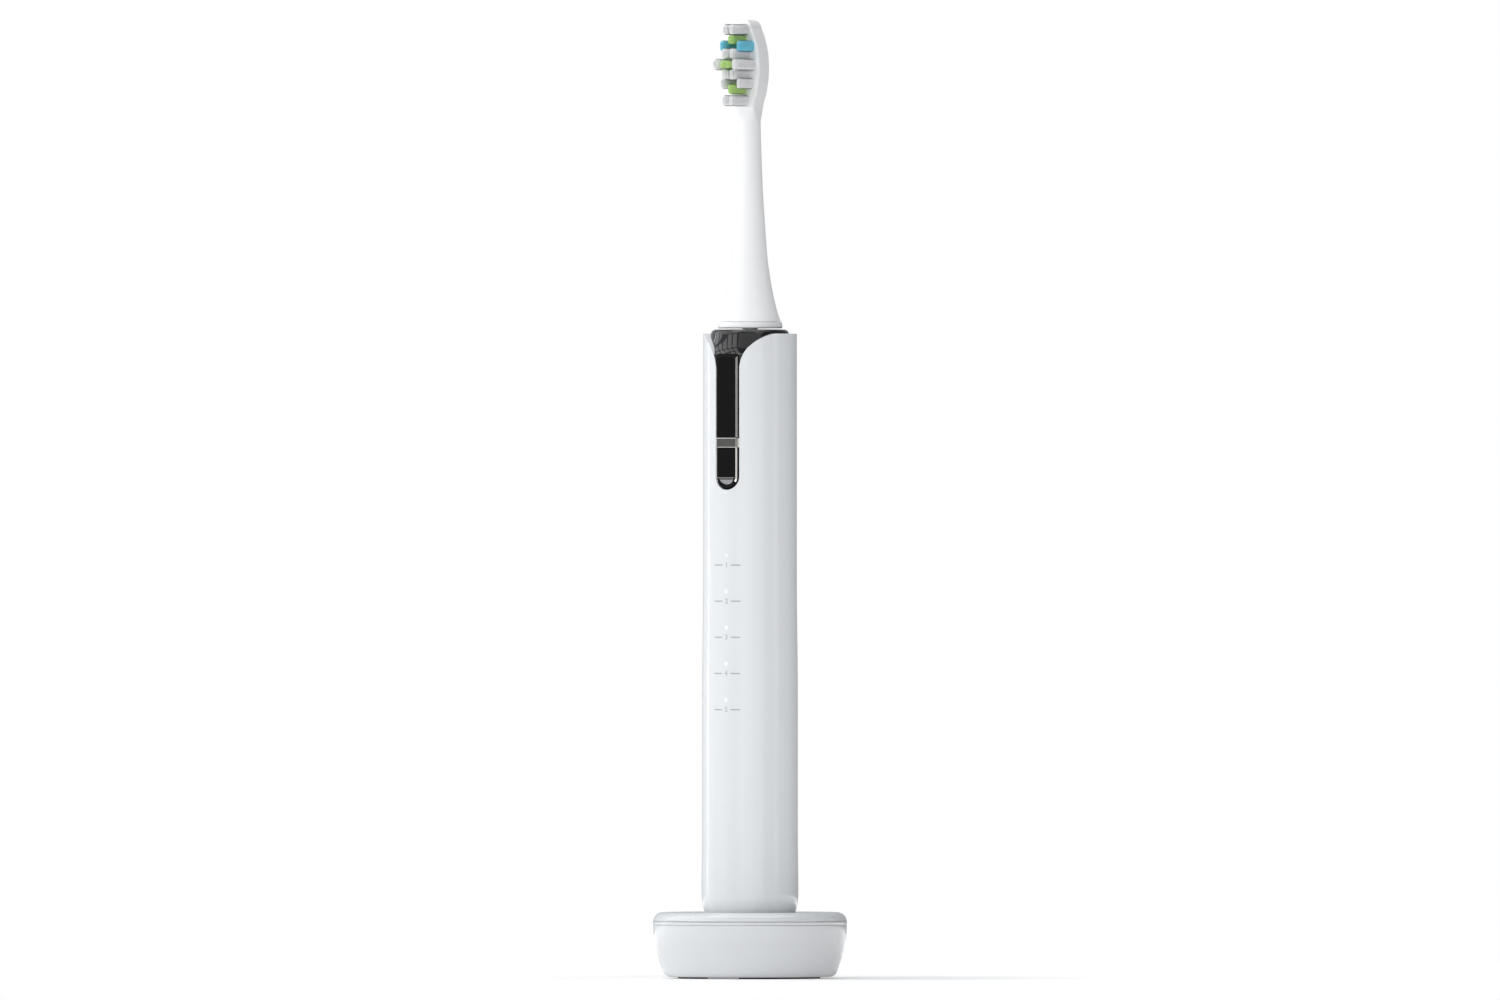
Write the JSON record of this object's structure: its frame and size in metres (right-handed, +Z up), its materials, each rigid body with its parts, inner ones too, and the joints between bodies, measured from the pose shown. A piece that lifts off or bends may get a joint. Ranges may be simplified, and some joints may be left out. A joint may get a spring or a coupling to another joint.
{
  "type": "electric toothbrush on charger",
  "caption": "Slim sonic toothbrush with a pull-off brush head, standing on a low round charging base.",
  "frame": {"origin": "middle of the resting plane, on the handle's axis", "axes": "+Z up along the handle, -Y to the front where the bristles and the button face, X to the side"},
  "size_m": [0.0504, 0.0504, 0.2492],
  "materials": {
    "shell_white": "high gloss, injection moulded",
    "base_white": "high gloss, injection moulded",
    "head_white": "satin moulding",
    "gloss_black": "polished",
    "satin_black": "satin",
    "band_silver": "satin anodised with a bright edge",
    "lens_white": "clear-coated light pipe",
    "bristle_white": "end-rounded filament",
    "bristle_blue": "end-rounded filament",
    "bristle_green": "end-rounded filament",
    "rubber_dark": "soft, matt",
    "steel": "ground",
    "copper": "enamelled winding",
    "board_green": "solder mask",
    "cell_wrap": "shrink sleeve",
    "chassis_grey": "fine texture",
    "magnet": "nickel plated",
    "ferrite": "sintered",
    "chip_black": "moulded",
    "print_grey": "pad print"
  },
  "bodies": {
    "base": {"base_shell": "base_white", "base_cover": "base_white", "foot_pad_front": "rubber_dark", "foot_pad_right": "rubber_dark", "foot_pad_rear": "rubber_dark", "base_screw_1": "steel", "base_screw_2": "steel", "base_screw_3": "steel", "base_screw_4": "steel", "ferrite_core": "ferrite", "primary_bobbin": "chassis_grey", "primary_coil": "copper", "charger_board": "board_green", "mains_capacitor": "chip_black", "mains_resistor": "chassis_grey", "charger_driver": "chip_black", "cable_gland": "rubber_dark"},
    "handle": {"outer_shell": "shell_white", "collar_trim": "gloss_black", "front_strip": "satin_black", "trim_band": "band_silver", "button_gasket": "rubber_dark", "light_guide": "lens_white", "shaft_seal": "rubber_dark", "bottom_cap": "shell_white", "bottom_seal": "rubber_dark", "pickup_bobbin": "chassis_grey", "pickup_coil": "copper", "battery_cell": "cell_wrap", "cell_contact_plus": "steel", "cell_contact_minus": "steel", "chassis": "chassis_grey", "main_circuit": "board_green", "board_screw_left": "steel", "board_screw_right": "steel", "mode_emitters": "lens_white", "controller_chip": "chip_black", "charge_chip": "chip_black", "switch_body": "chip_black", "motor_end_cap": "chassis_grey", "rear_bearing": "steel", "motor_can": "steel", "front_bearing": "steel", "stator_coil": "copper", "motor_damper": "rubber_dark"},
    "drive": {"drive_shaft": "steel", "rotor_core": "steel", "rotor_magnet_north": "magnet", "rotor_magnet_south": "magnet"},
    "brush": {"brush_head": "head_white", "head_ring": "head_white", "bristles_white": "bristle_white", "bristles_blue": "bristle_blue", "bristles_green": "bristle_green", "tuft_anchors": "steel", "head_socket": "chassis_grey"},
    "power_key": {"power_button": "satin_black"},
    "switch_key": {"switch_plunger": "chip_black"}
  },
  "joints": [
    {"name": "handle_lift", "type": "slide", "parent": "base", "child": "handle", "axis": [0, 0, 1], "range_m": [0, 0.03]},
    {"name": "shaft_oscillation", "type": "hinge", "parent": "handle", "child": "drive", "pos_m": [0, 0, 0.12], "axis": [0, 0, 1], "range_deg": [-5, 5], "stiffness_Nm_per_rad": 0.05},
    {"name": "head_pull", "type": "slide", "parent": "drive", "child": "brush", "axis": [0, 0, 1], "range_m": [0, 0.03]},
    {"name": "button_press", "type": "slide", "parent": "handle", "child": "power_key", "axis": [0, 1, 0], "range_m": [0, 0.0003], "stiffness_N_per_m": 900},
    {"name": "switch_press", "type": "slide", "parent": "handle", "child": "switch_key", "axis": [0, 1, 0], "range_m": [0, 0.0003]}
  ],
  "couplings": [
    {"joint": "switch_press", "follows": "button_press", "ratio": 1}
  ]
}
